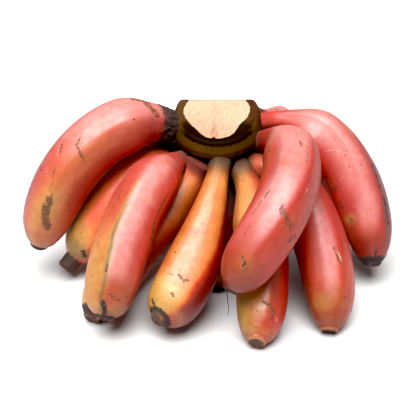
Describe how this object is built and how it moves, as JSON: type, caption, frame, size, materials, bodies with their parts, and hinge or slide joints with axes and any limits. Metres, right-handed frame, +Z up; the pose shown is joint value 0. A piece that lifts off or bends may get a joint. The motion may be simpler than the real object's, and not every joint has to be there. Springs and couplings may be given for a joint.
{
  "type": "banana hand",
  "caption": "Hand of plump red bananas joined at their cut stalk, standing on its fruit tips with the pale cut face upward.",
  "frame": {"origin": "on the supporting surface, under the middle of the hand's bounding box", "axes": "+Z up with the stalk's cut face upward, -Y toward the front where most fruits reach, +X across the hand's full width"},
  "size_m": [0.2935, 0.273, 0.1423],
  "materials": {
    "stalk": "dry fibrous rind with a pale cream cut face",
    "skin_rose": "waxy satin rose-red peel with brown scuffs",
    "skin_peach": "waxy satin peach-orange peel, red along the ridges",
    "skin_amber": "waxy satin orange-brown peel",
    "skin_red": "waxy satin orange-red peel",
    "skin_maroon": "waxy satin maroon peel"
  },
  "bodies": {
    "root": {"stalk": "stalk", "banana_left": "skin_rose", "banana_left_low": "skin_amber", "banana_front_left": "skin_rose", "banana_front_left_low": "skin_amber", "banana_front": "skin_peach", "banana_front_low": "skin_maroon", "banana_front_right_low": "skin_peach", "banana_front_right": "skin_rose", "banana_right_low": "skin_red", "banana_right": "skin_rose", "banana_back_right": "skin_rose", "banana_back_left": "skin_red"}
  },
  "joints": []
}
